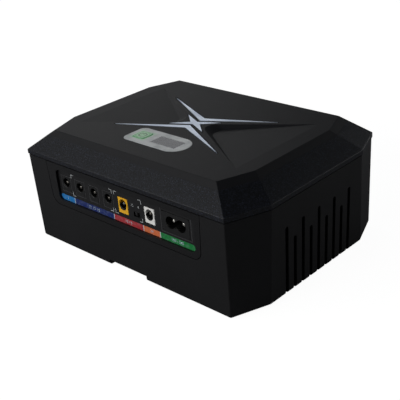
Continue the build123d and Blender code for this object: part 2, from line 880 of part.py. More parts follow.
# ---------------------------------------------------------------- slide switch
slide_face = panel_back - flange_thickness
slide_centre = (slide_x, shell_base + slide_z)
with BuildPart() as slide_case:
    with BuildSketch(front.offset(slide_face - slide_case_depth)):
        with Locations(slide_centre):
            Rectangle(slide_case_width, slide_case_height)
    extrude(amount=slide_case_depth)
    with BuildSketch(front.offset(slide_face - slide_case_depth)):
        with Locations(slide_centre):
            Rectangle(slide_case_width - 2 * slide_metal, slide_case_height - 2 * slide_metal)
    extrude(amount=slide_case_depth - slide_metal, mode=Mode.SUBTRACT)
    with BuildSketch(front.offset(slide_face - slide_metal)):
        with Locations(slide_centre):
            Rectangle(slide_travel + slide_knob_width + fit_gap, slide_knob_height + fit_gap)
    extrude(amount=slide_metal, mode=Mode.SUBTRACT)
keep(slide_case, "slide_switch_case")

with BuildPart() as slide_base:
    with BuildSketch(front.offset(slide_face - slide_case_depth)):
        with Locations(slide_centre):
            Rectangle(
                slide_case_width - 2 * slide_metal - fit_gap,
                slide_case_height - 2 * slide_metal - fit_gap,
            )
    extrude(amount=slide_case_depth / 2)
    with BuildSketch(front.offset(slide_face - slide_case_depth - slide_metal)):
        with Locations(slide_centre):
            Rectangle(slide_case_width, slide_case_height)
    extrude(amount=slide_metal)
    with BuildSketch(Plane.XY.offset(jack_base)):
        with Locations((slide_x, slide_case_depth + slide_metal / 2 - slide_face)):
            Rectangle(slide_case_width / 2, slide_metal)
    extrude(amount=slide_case_height)
keep(slide_base, "slide_switch_base")

knob_x = slide_x - slide_travel / 2
knob_shoulder = slide_face - slide_metal - fit_gap
with BuildPart() as slide_knob:
    with BuildSketch(front.offset(slide_face - slide_case_depth / 2 + fit_gap)):
        with Locations((knob_x, shell_base + slide_z)):
            Rectangle(slide_knob_width + 2 * slide_metal, slide_knob_height + slide_metal)
    extrude(amount=knob_shoulder - (slide_face - slide_case_depth / 2 + fit_gap))
    with BuildSketch(front.offset(knob_shoulder)):
        with Locations((knob_x, shell_base + slide_z)):
            Rectangle(slide_knob_width, slide_knob_height)
    extrude(amount=label_face - slide_knob_setback - knob_shoulder)
    chamfer(slide_knob.faces().sort_by(Axis.Y)[0].edges(), length=fit_gap)
keep(slide_knob, "slide_switch_knob")

# ---------------------------------------------------------------- mains inlet
inlet_face = label_face + jack_proud
inlet_centre = (inlet_x, shell_base + inlet_z)
inlet_pin_places = [(inlet_x + side * inlet_pin_spacing / 2, shell_base + inlet_z) for side in (-1, 1)]
with BuildPart() as inlet:
    with BuildSketch(front.offset(inlet_face - inlet_depth)):
        with Locations(inlet_centre):
            Rectangle(inlet_width, inlet_height)
    extrude(amount=inlet_depth)
    chamfer(inlet.edges().filter_by(Axis.Y), length=2 * edge_break)
    with BuildSketch(front.offset(panel_back - flange_thickness - wall)):
        with Locations(inlet_centre):
            Rectangle(inlet_width + wall, inlet_height + wall)
    extrude(amount=wall)
    with BuildSketch(front.offset(inlet_face - inlet_cavity)) as figure_eight:
        with Locations(*inlet_pin_places):
            Circle(inlet_lobe_radius)
        with Locations(inlet_centre):
            Rectangle(inlet_pin_spacing, inlet_web)
    extrude(amount=inlet_cavity, mode=Mode.SUBTRACT)
    with BuildSketch(front.offset(inlet_face - inlet_depth)):
        with Locations(*inlet_pin_places):
            Circle(inlet_pin_radius + thread_gap)
    extrude(amount=inlet_depth, mode=Mode.SUBTRACT)
keep(inlet, "ac_inlet")

with BuildPart() as inlet_pins:
    with BuildSketch(front.offset(inlet_face - inlet_depth - inlet_tail)):
        with Locations(*inlet_pin_places):
            Circle(inlet_pin_radius)
    extrude(amount=inlet_tail + inlet_depth - inlet_cavity + inlet_pin_length)
    ends = inlet_pins.faces().filter_by(Plane.XZ).group_by(Axis.Y)[0]
    fillet(ends.edges(), radius=inlet_pin_radius / 2)
keep(inlet_pins, "ac_inlet_pins")

# ---------------------------------------------------------------- circuit boards
with BuildPart() as output_board:
    with BuildSketch(Plane.XY.offset(output_board_low)):
        with Locations((output_board_x, output_board_y)):
            Rectangle(output_board_width, output_board_depth)
        with Locations(*output_screw_places):
            Circle(small_screw_radius + screw_clearance, mode=Mode.SUBTRACT)
    extrude(amount=board_thickness)
keep(output_board, "output_board")

with BuildPart() as power_board:
    with BuildSketch(Plane.XY.offset(power_board_low)):
        with Locations((power_board_x, power_board_y)):
            Rectangle(power_board_width, power_board_length)
        with Locations(*power_screw_places):
            Circle(small_screw_radius + screw_clearance, mode=Mode.SUBTRACT)
    extrude(amount=board_thickness)
keep(power_board, "power_board")

power_board_top = power_board_low + board_thickness
board_screw_reach = small_screw_length - fit_gap
output_screws = screws(
    output_screw_places, board_top, small_screw_radius,
    board_screw_reach, small_screw_head, small_screw_head_height, -1,
)
keep(output_screws, "output_board_screws")
power_screws = screws(
    power_screw_places, power_board_top, small_screw_radius,
    board_screw_reach, small_screw_head, small_screw_head_height, -1,
)
keep(power_screws, "power_board_screws")
case_screws = screws(
    case_screw_places, shell_base + screw_seat, screw_radius,
    screw_length, screw_head_radius, screw_head_height, 1,
)
keep(case_screws, "case_screws")

# ---------------------------------------------------------------- rubber feet
with BuildPart() as feet:
    with BuildSketch(Plane.XY):
        with Locations(*foot_places):
            Circle(foot_radius)
    extrude(amount=foot_height + foot_recess)
    chamfer(feet.edges().group_by(Axis.Z)[0], length=foot_height / 4)
keep(feet, "rubber_feet")


def block(name, centre, size, edge=0.4):
    """Write a boxed component that stands on the power board, with its top edges broken."""
    with BuildPart() as body:
        with BuildSketch(Plane.XY.offset(power_board_top)):
            with Locations(centre):
                Rectangle(size[0], size[1])
        extrude(amount=size[2])
        chamfer(body.edges().group_by(Axis.Z)[-1], length=edge)
    keep(body, name)


def cans(name, places, radius, height):
    """Write round capacitor cans with a rolled top edge, standing on the power board."""
    with BuildPart() as body:
        with BuildSketch(Plane.XY.offset(power_board_top)):
            with Locations(*places):
                Circle(radius)
        extrude(amount=height)
        fillet(body.edges().group_by(Axis.Z)[-1], radius=radius / 6)
    keep(body, name)


def wound_core(name, centre, width, depth, height):
    """Write an E-E ferrite core and the winding round its middle leg, on the power board."""
    leg = width / 3.6
    yoke = height / 6
    slot = (width - 2 * leg) / 2 - leg / 4
    slot_x = (leg + slot) / 2
    with BuildPart() as core:
        with BuildSketch(front.offset(-centre[1] - depth / 2)):
            with Locations((centre[0], power_board_top + height / 2)):
                Rectangle(width, height)
            with Locations(
                (centre[0] - slot_x, power_board_top + height / 2),
                (centre[0] + slot_x, power_board_top + height / 2),
            ):
                Rectangle(slot, height - 2 * yoke, mode=Mode.SUBTRACT)
        extrude(amount=depth)
    keep(core, f"{name}_core")
    with BuildPart() as winding:
        with BuildSketch(Plane.XY.offset(power_board_top + yoke + fit_gap)):
            with Locations(centre):
                RectangleRounded(leg + 2 * slot - 2 * fit_gap, depth + 1.6 * slot, slot / 2)
                Rectangle(leg + 2 * fit_gap, depth + 2 * fit_gap, mode=Mode.SUBTRACT)
        extrude(amount=height - 2 * yoke - 2 * fit_gap)
    keep(winding, f"{name}_winding")


# ---------------------------------------------------------------- parts on the power board
wound_core("transformer", transformer_place, transformer_width, transformer_depth, transformer_height)
wound_core("choke", choke_place, choke_width, choke_depth, choke_height)
mains_terminal = (inlet_x, power_board_front + mains_terminal_inset)
output_terminal = (output_terminal_x, power_board_back - output_terminal_inset)
block("mains_terminal", mains_terminal, (mains_terminal_width, terminal_depth, terminal_height))
block("output_terminal", output_terminal, (output_terminal_width, terminal_depth, terminal_height))
block("filter_capacitor", filter_place, filter_size)
block("bridge_rectifier", rectifier_place, rectifier_size)
cans("bulk_capacitor", [bulk_place], bulk_radius, bulk_height)
output_can_places = [
    (output_can_first[0] + output_can_pitch * index, output_can_first[1])
    for index in range(output_can_count)
]
cans("output_capacitors", output_can_places, output_can_radius, output_can_height)

fuse_centre = (power_board_front + fuse_inset, power_board_top + fuse_axis)
with BuildPart() as fuse:
    with BuildSketch(Plane.YZ.offset(fuse_x - fuse_length / 2)):
        with Locations(fuse_centre):
            Circle(fuse_radius)
    extrude(amount=fuse_length)
    chamfer(fuse.edges().filter_by(GeomType.CIRCLE), length=fit_gap)
keep(fuse, "fuse")

with BuildPart() as fuse_clips:
    for side in (-1, 1):
        with BuildSketch(Plane.YZ.offset(fuse_x + side * fuse_length / 3 - clip_width / 2)):
            with Locations((fuse_centre[0], power_board_top + fuse_axis / 2)):
                Rectangle(2 * (fuse_radius + clip_side), fuse_axis)
            with Locations(fuse_centre):
                Circle(fuse_radius + thread_gap, mode=Mode.SUBTRACT)
        extrude(amount=clip_width)
keep(fuse_clips, "fuse_clips")

for index, ((sink_x, sink_y), side) in enumerate(((right_sink, 1), (left_sink, -1)), start=1):
    with BuildPart() as sink:
        with BuildSketch(Plane.XY.offset(power_board_top)):
            with Locations((sink_x, sink_y)):
                Rectangle(sink_base, sink_length)
            with Locations((sink_x + side * (sink_base + fin_depth) / 2, sink_y)):
                with GridLocations(0, sink_length / fin_count, 1, fin_count):
                    Rectangle(fin_depth, sink_base / 2)
        extrude(amount=sink_height)
    keep(sink, f"heat_sink_{index}")

# Each transistor stands against the flat side of its heat sink
transistor_reach = (sink_base + transistor_thickness) / 2
transistor_places = [
    (right_sink[0] - transistor_reach, right_sink[1]),
    (left_sink[0] + transistor_reach, left_transistor_y),
]
with BuildPart() as transistors:
    with BuildSketch(Plane.XY.offset(power_board_top + transistor_lift)):
        with Locations(*transistor_places):
            Rectangle(transistor_thickness, transistor_width)
    extrude(amount=transistor_height)
    chamfer(transistors.edges().group_by(Axis.Z)[-1], length=edge_break)
keep(transistors, "power_transistors")

# ---------------------------------------------------------------- battery pack
cell_places = [
    (
        pack_middle_y + (column - (cell_columns - 1) / 2) * cell_pitch,
        inner_floor + holder_margin + cell_pitch * (layer + 0.5),
    )
    for column in range(cell_columns)
    for layer in range(cell_layers)
]
pack_top = inner_floor + pack_height
with BuildPart() as cells:
    with BuildSketch(Plane.YZ.offset(pack_left)):
        with Locations(*cell_places):
            Circle(cell_radius)
    extrude(amount=cell_length)
    fillet(cells.edges().filter_by(GeomType.CIRCLE), radius=2 * edge_break)
keep(cells, "battery_cells")

for side_name, holder_x in (("left", pack_left), ("right", pack_left + cell_length - holder_thickness)):
    with BuildPart() as holder:
        with BuildSketch(Plane.YZ.offset(holder_x)):
            with Locations((pack_middle_y, inner_floor + pack_height / 2)):
                RectangleRounded(pack_depth, pack_height, holder_margin)
            with Locations(*cell_places):
                Circle(cell_radius + cell_gap, mode=Mode.SUBTRACT)
        extrude(amount=holder_thickness)
    keep(holder, f"cell_holder_{side_name}")

with BuildPart() as nickel:
    for strip_x in (pack_left - nickel_thickness, pack_left + cell_length):
        with BuildSketch(Plane.YZ.offset(strip_x)):
            for layer in range(cell_layers):
                strip_z = inner_floor + holder_margin + cell_pitch * (layer + 0.5)
                with Locations((pack_middle_y, strip_z)):
                    Rectangle(pack_depth - 2 * cell_radius, nickel_width)
        extrude(amount=nickel_thickness)
keep(nickel, "nickel_strips")

with BuildPart() as protection:
    with BuildSketch(Plane.XY.offset(pack_top)):
        with Locations((pack_middle_x, pack_middle_y)):
            Rectangle(cell_length, protection_depth)
    extrude(amount=protection_thickness)
keep(protection, "protection_board")


def bend_radii(points):
    """Give each corner of a route the largest arc that its two runs allow."""
    spots = [Vector(*point) for point in points]
    radii = []
    for before, corner, after in zip(spots, spots[1:], spots[2:]):
        turn = (corner - before).get_angle(after - corner)
        shorter = min((corner - before).length, (after - corner).length)
        radii.append(0.45 * shorter / tan(radians(turn) / 2))
    return radii


def leads(name, routes, radius=lead_radius):
    """Write a group of round leads, each along its own route."""
    with BuildPart() as group:
        for points in routes:
            with BuildLine():
                route = FilletPolyline(*points, radius=bend_radii(points))
            with BuildSketch(Plane(origin=route @ 0, z_dir=route % 0)):
                Circle(radius)
            sweep()
    keep(group, name)


# ---------------------------------------------------------------- leads inside the case
tail_y = inlet_depth + inlet_tail - inlet_face
terminal_top = power_board_top + terminal_height
board_rear = -(output_board_front - output_board_depth)
leads(
    "mains_leads",
    [
        [
            (x, tail_y, shell_base + inlet_z),
            (x, tail_y + 9, shell_base + inlet_z),
            (x, mains_terminal[1], shell_base + inlet_z - 12),
            (x, mains_terminal[1], terminal_top),
        ]
        for x, _ in inlet_pin_places
    ],
)
leads(
    "output_leads",
    [
        [
            (x, output_terminal[1], terminal_top),
            (x, output_terminal[1], parting - 18),
            (x, output_terminal[1] - 14, parting - 6),
            (x, board_rear + 14, parting - 6),
            (x, board_rear - 4, parting - 10),
            (x, board_rear - 4, board_top),
        ]
        for x in (output_terminal[0] - 3, output_terminal[0] + 3)
    ],
)
leads(
    "battery_leads",
    [
        [
            (x, pack_middle_y - 20, pack_top + protection_thickness),
            (x, pack_middle_y - 20, pack_top + 9),
            (x, pack_middle_y - 34, pack_top + 13),
            (x, board_rear + 6, pack_top + 13),
            (x, board_rear - 4, pack_top + 9),
            (x, board_rear - 4, board_top),
        ]
        for x in (pack_middle_x - 4, pack_middle_x + 4)
    ],
)
cable_x = display_board_x + display_board_width / 2 - 9
leads(
    "display_leads",
    [
        [
            (cable_x + step, lens_y - display_board_depth / 4, display_board_low),
            (cable_x + step, lens_y - display_board_depth / 4, display_board_low - 9),
            (cable_x + step, board_rear - 6, board_top + 12),
            (cable_x + step, board_rear - 6, board_top),
        ]
        for step in (-3.0, -1.0, 1.0, 3.0)
    ],
    lead_radius / 2,
)
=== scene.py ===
"""The looks of a mains-fed battery power box: its finishes, small printed pieces, studio and camera."""

import logging
import math
from dataclasses import dataclass
from enum import Enum
from typing import Any, Callable, Optional, Sequence, Union

import bmesh
import bpy
from mathutils import Matrix, Vector

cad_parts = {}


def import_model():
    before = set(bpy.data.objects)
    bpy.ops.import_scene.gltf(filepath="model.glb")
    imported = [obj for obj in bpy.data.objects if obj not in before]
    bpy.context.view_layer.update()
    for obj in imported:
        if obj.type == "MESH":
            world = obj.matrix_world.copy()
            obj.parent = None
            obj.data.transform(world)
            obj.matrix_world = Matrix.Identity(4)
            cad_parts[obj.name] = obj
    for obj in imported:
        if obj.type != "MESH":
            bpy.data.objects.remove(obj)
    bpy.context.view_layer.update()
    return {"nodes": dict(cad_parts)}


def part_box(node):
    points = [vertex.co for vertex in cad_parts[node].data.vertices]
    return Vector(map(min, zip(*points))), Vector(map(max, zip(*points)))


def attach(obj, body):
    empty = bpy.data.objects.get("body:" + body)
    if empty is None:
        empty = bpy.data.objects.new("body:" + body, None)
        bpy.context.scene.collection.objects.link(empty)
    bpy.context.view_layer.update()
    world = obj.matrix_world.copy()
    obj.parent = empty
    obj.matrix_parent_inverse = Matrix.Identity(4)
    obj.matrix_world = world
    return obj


log = logging.getLogger("power_box")

MM = 0.001
CASE_BODY = "case"
LETTER_SIZE = 1.35  # a text object's size for each metre of a figure's height

Colour = tuple[float, float, float]
Place = tuple[float, float, float]


def srgb(red: float, green: float, blue: float) -> Colour:
    """Turn 0-255 display values into linear colour.

    Args:
        red: Display red, 0 to 255.
        green: Display green, 0 to 255.
        blue: Display blue, 0 to 255.

    Returns:
        The same colour in linear light.
    """

    def linear(value: float) -> float:
        """Undo the display curve for one channel."""
        share = value / 255.0
        return share / 12.92 if share <= 0.04045 else ((share + 0.055) / 1.055) ** 2.4

    return (linear(red), linear(green), linear(blue))


# ---------------------------------------------------------------- shader maths


class Wire:
    """A shader socket that can be used in ordinary arithmetic."""

    def __init__(self, tree: "Shader", socket: bpy.types.NodeSocket) -> None:
        """Hold the socket and the shader that it belongs to."""
        self.tree = tree
        self.socket = socket

    def _math(self, operation: str, *values: Union["Wire", float]) -> "Wire":
        """Add a Math node.

        Args:
            operation: Blender's name of the operation.
            values: The inputs in order.

        Returns:
            The node's result.
        """
        return self.tree.node("ShaderNodeMath", {"operation": operation}, dict(enumerate(values)))[0]

    def __add__(self, other: Union["Wire", float]) -> "Wire":
        """Add."""
        return self._math("ADD", self, other)

    __radd__ = __add__

    def __sub__(self, other: Union["Wire", float]) -> "Wire":
        """Subtract."""
        return self._math("SUBTRACT", self, other)

    def __rsub__(self, other: float) -> "Wire":
        """Subtract from a number."""
        return self._math("SUBTRACT", other, self)

    def __mul__(self, other: Union["Wire", float]) -> "Wire":
        """Multiply."""
        return self._math("MULTIPLY", self, other)

    __rmul__ = __mul__

    def __pow__(self, other: float) -> "Wire":
        """Raise to a power."""
        return self._math("POWER", self, other)

    def absolute(self) -> "Wire":
        """Drop the sign."""
        return self._math("ABSOLUTE", self)

    def least(self, other: Union["Wire", float]) -> "Wire":
        """Take the smaller of two values."""
        return self._math("MINIMUM", self, other)

    def most(self, other: Union["Wire", float]) -> "Wire":
        """Take the larger of two values."""
        return self._math("MAXIMUM", self, other)

    def sine(self) -> "Wire":
        """Take the sine."""
        return self._math("SINE", self)

    def ramp(self, low: float, high: float) -> "Wire":
        """Rise smoothly from 0 to 1 between two values, or fall if low is above high."""
        settings = {"interpolation_type": "SMOOTHSTEP"}
        if low < high:
            values = {0: self, 1: low, 2: high, 3: 0.0, 4: 1.0}
        else:
            values = {0: self, 1: high, 2: low, 3: 1.0, 4: 0.0}
        return self.tree.node("ShaderNodeMapRange", settings, values)[0]


class Shader:
    """A material under construction, with its Principled shader and Object coordinates."""

    def __init__(self, name: str) -> None:
        """Start an empty material.

        Args:
            name: The material's name.
        """
        self.material = bpy.data.materials.new(name)
        self.material.use_nodes = True
        self.nodes = self.material.node_tree.nodes
        self.links = self.material.node_tree.links
        self.surface = self.nodes["Principled BSDF"]
        self.output = self.nodes["Material Output"]
        self._where: Optional[Wire] = None

    def node(self, kind: str, settings: dict[str, Any], values: dict[Any, Any]) -> list[Wire]:
        """Add one node.

        Args:
            kind: The node's type.
            settings: Its properties, set before its sockets are touched.
            values: Socket index or name to a number, a vector or a Wire.

        Returns:
            The node's enabled outputs.
        """
        made = self.nodes.new(kind)
        for name, value in settings.items():
            setattr(made, name, value)
        for key, value in values.items():
            self.feed(made.inputs[key], value)
        return [Wire(self, out) for out in made.outputs if out.enabled]

    def feed(self, socket: bpy.types.NodeSocket, value: Any) -> None:
        """Link a Wire to a socket, or set the socket's own value.

        Args:
            socket: The input socket.
            value: A Wire, a number or a vector.
        """
        if isinstance(value, Wire):
            self.links.new(value.socket, socket)
        elif isinstance(value, (tuple, list)) and len(value) == 3 and socket.type == "RGBA":
            socket.default_value = (*value, 1.0)
        else:
            socket.default_value = value

    def where(self) -> Wire:
        """Give the point being shaded, in metres in the frame of the part."""
        if self._where is None:
            found = self.node("ShaderNodeTexCoord", {}, {})
            self._where = [wire for wire in found if wire.socket.name == "Object"][0]
        return self._where

    def axes(self) -> tuple[Wire, Wire, Wire]:
        """Give the X, Y and Z of the point being shaded, in millimetres."""
        scaled = self.node(
            "ShaderNodeVectorMath", {"operation": "SCALE"}, {0: self.where(), "Scale": 1.0 / MM}
        )[0]
        x, y, z = self.node("ShaderNodeSeparateXYZ", {}, {0: scaled})
        return x, y, z

    def noise(self, per_mm: float, detail: float = 2.0, stretch: Place = (1.0, 1.0, 1.0)) -> Wire:
        """Give soft random values.

        Args:
            per_mm: How many bumps lie along a millimetre.
            detail: How many finer layers are added.
            stretch: How much denser the pattern is along each axis.

        Returns:
            Values about 0.5.
        """
        placed = self.node("ShaderNodeMapping", {}, {0: self.where(), "Scale": stretch})[0]
        settings = {"noise_dimensions": "3D"}
        values = {"Vector": placed, "Scale": per_mm / MM, "Detail": detail, "Roughness": 0.55}
        return self.node("ShaderNodeTexNoise", settings, values)[0]

    def cells(self, per_mm: float) -> tuple[Wire, Wire]:
        """Give the distance to random points, and a random value for each point's cell.

        Args:
            per_mm: How many points lie along a millimetre.

        Returns:
            The distance, and one random number for each cell.
        """
        values = {"Vector": self.where(), "Scale": per_mm / MM}
        found = self.node("ShaderNodeTexVoronoi", {"feature": "F1"}, values)
        picked = self.node("ShaderNodeSeparateColor", {}, {0: found[1]})
        return found[0], picked[0]

    def blend(self, share: Union[Wire, float], low: Any, high: Any) -> Wire:
        """Mix two colours.

        Args:
            share: 0 gives the first colour and 1 the second.
            low: The first colour.
            high: The second colour.

        Returns:
            The mixed colour.
        """
        mixer = self.nodes.new("ShaderNodeMix")
        mixer.data_type = "RGBA"
        self.feed(mixer.inputs[0], share)
        self.feed(mixer.inputs[6], low)
        self.feed(mixer.inputs[7], high)
        return Wire(self, mixer.outputs[2])

    def bump(self, height: Wire, depth_mm: float) -> Wire:
        """Turn a height into a normal.

        Args:
            height: Values from 0 to 1.
            depth_mm: How deep a full step of height is.

        Returns:
            The bent normal.
        """
        values = {"Strength": 1.0, "Distance": depth_mm * MM, "Height": height}
        return self.node("ShaderNodeBump", {}, values)[0]

    def finish(self, **sockets: Any) -> bpy.types.Material:
        """Feed the Principled shader and return the material.

        Args:
            sockets: Socket names, with an underscore for a space, and what feeds them.

        Returns:
            The finished material.
        """
        for name, value in sockets.items():
            self.feed(self.surface.inputs[name.replace("_", " ").title().replace("Ior", "IOR")], value)
        return self.material


def inside(x: Wire, z: Wire, low: tuple[float, float], high: tuple[float, float], soft: float) -> Wire:
    """Mask a box between two corners.

    Args:
        x: The first coordinate, in millimetres.
        z: The second coordinate, in millimetres.
        low: The box's lower corner.
        high: The box's upper corner.
        soft: Width of the blurred edge.

    Returns:
        1 inside, 0 outside.
    """
    over_x = ((low[0] + high[0]) / 2 - x).absolute() - (high[0] - low[0]) / 2
    over_z = ((low[1] + high[1]) / 2 - z).absolute() - (high[1] - low[1]) / 2
    return over_x.most(over_z).ramp(soft, -soft)


# ---------------------------------------------------------------- finishes


@dataclass(frozen=True)
class MouldedPlastic:
    """Moulded black plastic with a spark-eroded grain, and lighter glints painted into its colour."""

    name: str
    tint: Colour
    grain_and_glint_tint: Colour
    grain_per_mm: float = 2.6
    grain_depth: float = 0.03
    roughness: float = 0.5
    gloss: float = 0.5
    painted_glint_share: float = 0.0

    def make(self) -> bpy.types.Material:
        """Build the material."""
        shader = Shader(self.name)
        grain = shader.noise(self.grain_per_mm, 3.0)
        cloud = shader.noise(0.02, 2.0)
        point, pick = shader.cells(self.grain_per_mm * 0.8)
        # Painted glints: random specks lightened in the base colour, standing in for light caught by the
        # grain.
        painted_glint = pick.ramp(0.8, 1.0) * point.ramp(0.5, 0.1)
        worn = shader.noise(0.15, 4.0).ramp(0.55, 0.8)
        lift = grain.ramp(0.35, 0.65) * 0.45 + cloud.ramp(0.3, 0.7) * 0.25
        # Lighter-tint share: random grain tone plus the painted glints.
        shade = (lift + painted_glint * self.painted_glint_share).least(1.0)
        rough = worn * -0.05 + self.roughness + (grain - 0.5) * 0.2 - painted_glint * self.painted_glint_share * 0.3
        height = grain * 0.7 + point.ramp(0.7, 0.1) * 0.3
        return shader.finish(
            base_color=shader.blend(shade, self.tint, self.grain_and_glint_tint),
            roughness=rough,
            normal=shader.bump(height, self.grain_depth),
            specular_ior_level=self.gloss,
        )


@dataclass(frozen=True)
class CoverPlastic:
    """The lid's plastic: a fine matt top and coarse slopes, whose sparkle is painted into the colour as
    lighter glints.
    """

    name: str
    top_level: float
    top_tint: Colour = srgb(18, 18, 21)
    slope_tint: Colour = srgb(6, 7, 9)
    slope_grain_and_glint_tint: Colour = srgb(70, 76, 96)
    top_grain: float = 4.0
    slope_grain: float = 1.35
    flat_depth: float = 3.2
    blur: float = 0.4
    grain_depth: float = 0.11

    def make(self) -> bpy.types.Material:
        """Build the material."""
        shader = Shader(self.name)
        _, _, z = shader.axes()
        edge = self.top_level - self.flat_depth
        slope = z.ramp(edge, edge - self.blur)
        fine = shader.noise(self.top_grain, 3.0)
        coarse = shader.noise(self.slope_grain, 4.0)
        point, pick = shader.cells(self.slope_grain * 1.1)
        cloud = shader.noise(0.018, 2.0)
        # Painted glints: random specks on the slopes lightened in the base colour, standing in for light
        # caught by the coarse grain.
        painted_glint = pick.ramp(0.62, 1.0) * point.ramp(0.6, 0.15)
        rubbed = shader.noise(0.12, 4.0).ramp(0.58, 0.82)
        top_colour = shader.blend(
            fine.ramp(0.3, 0.7) * 0.5 + cloud * 0.3, self.top_tint, tuple(c * 1.5 for c in self.top_tint)
        )
        # Slope colour: coarse grain tone plus the painted glints.
        slope_colour = shader.blend(
            (coarse.ramp(0.42, 0.7) * 0.2 + painted_glint * 0.45).least(1.0), self.slope_tint, self.slope_grain_and_glint_tint
        )
        rough = (1 - slope) * (fine * 0.12 + 0.5) + slope * (coarse * 0.25 + 0.33 - painted_glint * 0.12)
        height = (1 - slope) * fine * 0.15 + slope * (coarse * 0.6 + point.ramp(0.6, 0.1) * 0.4)
        return shader.finish(
            base_color=shader.blend(slope, top_colour, slope_colour),
            roughness=rough - rubbed * 0.04,
            normal=shader.bump(height, self.grain_depth),
            specular_ior_level=0.34,
        )


@dataclass(frozen=True)
class SilverInlay:
    """Bright satin metal foil on a pressed strip."""

    name: str
    tint: Colour = srgb(226, 236, 250)
    dark_tint: Colour = srgb(172, 184, 206)

    def make(self) -> bpy.types.Material:
        """Build the material."""
        shader = Shader(self.name)
        brushed = shader.noise(3.0, 3.0, (0.06, 1.0, 1.0))
        cloud = shader.noise(0.05, 1.0)
        return shader.finish(
            base_color=shader.blend(cloud.ramp(0.3, 0.7) * 0.6 + brushed * 0.3, self.tint, self.dark_tint),
            metallic=0.75,
            roughness=brushed * 0.16 + 0.26,
            normal=shader.bump(brushed, 0.008),
        )


@dataclass(frozen=True)
class PlatedMetal:
    """Plated or plain metal with faint drawing marks."""

    name: str
    tint: Colour
    dark_tint: Colour
    roughness: float = 0.25
    grain_per_mm: float = 2.0

    def make(self) -> bpy.types.Material:
        """Build the material."""
        shader = Shader(self.name)
        marks = shader.noise(self.grain_per_mm, 3.0, (1.0, 0.15, 1.0))
        spots = shader.noise(0.6, 4.0).ramp(0.5, 0.75)
        return shader.finish(
            base_color=shader.blend(marks * 0.5 + spots * 0.4, self.tint, self.dark_tint),
            metallic=1.0,
            roughness=marks * 0.15 + spots * 0.08 + self.roughness,
            normal=shader.bump(marks, 0.006),
        )


@dataclass(frozen=True)
class Bore:
    """A round hole along Y, by its middle and its radius, in millimetres."""

    x: float
    z: float
    radius: float


@dataclass(frozen=True)
class ColouredPlastic:
    """Smooth coloured plastic with slight mould flow and a soft gloss, and painted shade: near-black
    inside its bore.
    """

    name: str
    tint: Colour
    shade_tint: Colour
    roughness: float = 0.32
    coat: float = 0.15
    bore: Optional[Bore] = None
    bore_shade_tint: Colour = srgb(9, 9, 10)

    def make(self) -> bpy.types.Material:
        """Build the material."""
        shader = Shader(self.name)
        flow = shader.noise(0.12, 2.0)
        grain = shader.noise(3.0, 2.0)
        colour = shader.blend(flow.ramp(0.35, 0.7) * 0.6 + grain * 0.15, self.tint, self.shade_tint)
        if self.bore:
            x, _, z = shader.axes()
            over, up = x - self.bore.x, z - self.bore.z
            # Painted shade: the bore's walls are coloured near-black, where shade falls inside the hole.
            bore_shade_mask = ((over * over + up * up) ** 0.5).ramp(self.bore.radius + 0.1, self.bore.radius)
            colour = shader.blend(bore_shade_mask, colour, self.bore_shade_tint)
        return shader.finish(
            base_color=colour,
            roughness=grain * 0.12 + self.roughness,
            normal=shader.bump(grain, 0.01),
            coat_weight=self.coat,
        )


@dataclass(frozen=True)
class ColourBand:
    """One printed band on the port label, between two places along X, in millimetres."""

    left: float
    right: float
    tint: Colour
    numbers: str


@dataclass(frozen=True)
class PrintedLabel:
    """The dark port label with its row of colour bands and faint outlines round the sockets."""

    name: str
    bands: tuple[ColourBand, ...]
    low: float
    high: float
    frames: tuple[tuple[float, float, float, float], ...]
    outline_gap: float = 0.15
    outline_width: float = 0.3
    line_blur: float = 0.08
    divider_half: float = 0.34
    base_tint: Colour = srgb(14, 14, 15)
    base_light: Colour = srgb(24, 24, 26)
    divider_tint: Colour = srgb(196, 214, 220)
    frame_tint: Colour = srgb(86, 86, 88)

    def _rounded_row(self, x: Wire, z: Wire) -> Wire:
        """Mask the whole row of bands, with its rounded ends."""
        radius = (self.high - self.low) / 2
        middle_z = (self.high + self.low) / 2
        middle_x = (self.bands[0].left + self.bands[-1].right) / 2
        half = (self.bands[-1].right - self.bands[0].left) / 2 - radius
        past = ((x - middle_x).absolute() - half).most(0.0)
        rise = z - middle_z
        far = (past * past + rise * rise) ** 0.5
        return far.ramp(radius + 0.06, radius - 0.06)

    def make(self) -> bpy.types.Material:
        """Build the material."""
        shader = Shader(self.name)
        x, _, z = shader.axes()
        grain = shader.noise(4.0, 3.0)
        ink = shader.noise(0.4, 3.0)
        colour = shader.blend(grain, self.base_tint, self.base_light)
        band_colour: Any = self.bands[0].tint
        for band in self.bands[1:]:
            band_colour = shader.blend((x - band.left).ramp(-0.05, 0.05), band_colour, band.tint)
        divider: Any = 0.0
        for band in self.bands[1:]:
            line = (x - band.left).absolute()
            line = line.ramp(self.divider_half + self.line_blur, self.divider_half - self.line_blur)
            divider = line.most(divider)
        band_colour = shader.blend(divider * 0.8, band_colour, self.divider_tint)
        band_colour = shader.blend(ink.ramp(0.4, 0.8) * 0.12, band_colour, self.divider_tint)
        row = self._rounded_row(x, z)
        outline: Any = 0.0
        near, far = self.outline_gap, self.outline_gap + self.outline_width
        for left, low, right, high in self.frames:
            outer = inside(x, z, (left - far, low - far), (right + far, high + far), self.line_blur)
            inner = inside(x, z, (left - near, low - near), (right + near, high + near), self.line_blur)
            outline = (outer - inner).most(outline)
        colour = shader.blend(outline * 0.7, colour, self.frame_tint)
        return shader.finish(
            base_color=shader.blend(row, colour, band_colour),
            roughness=grain * 0.15 + (1 - row) * 0.12 + 0.3,
            normal=shader.bump(grain * 0.3 + row * 0.7, 0.012),
            specular_ior_level=0.35,
        )


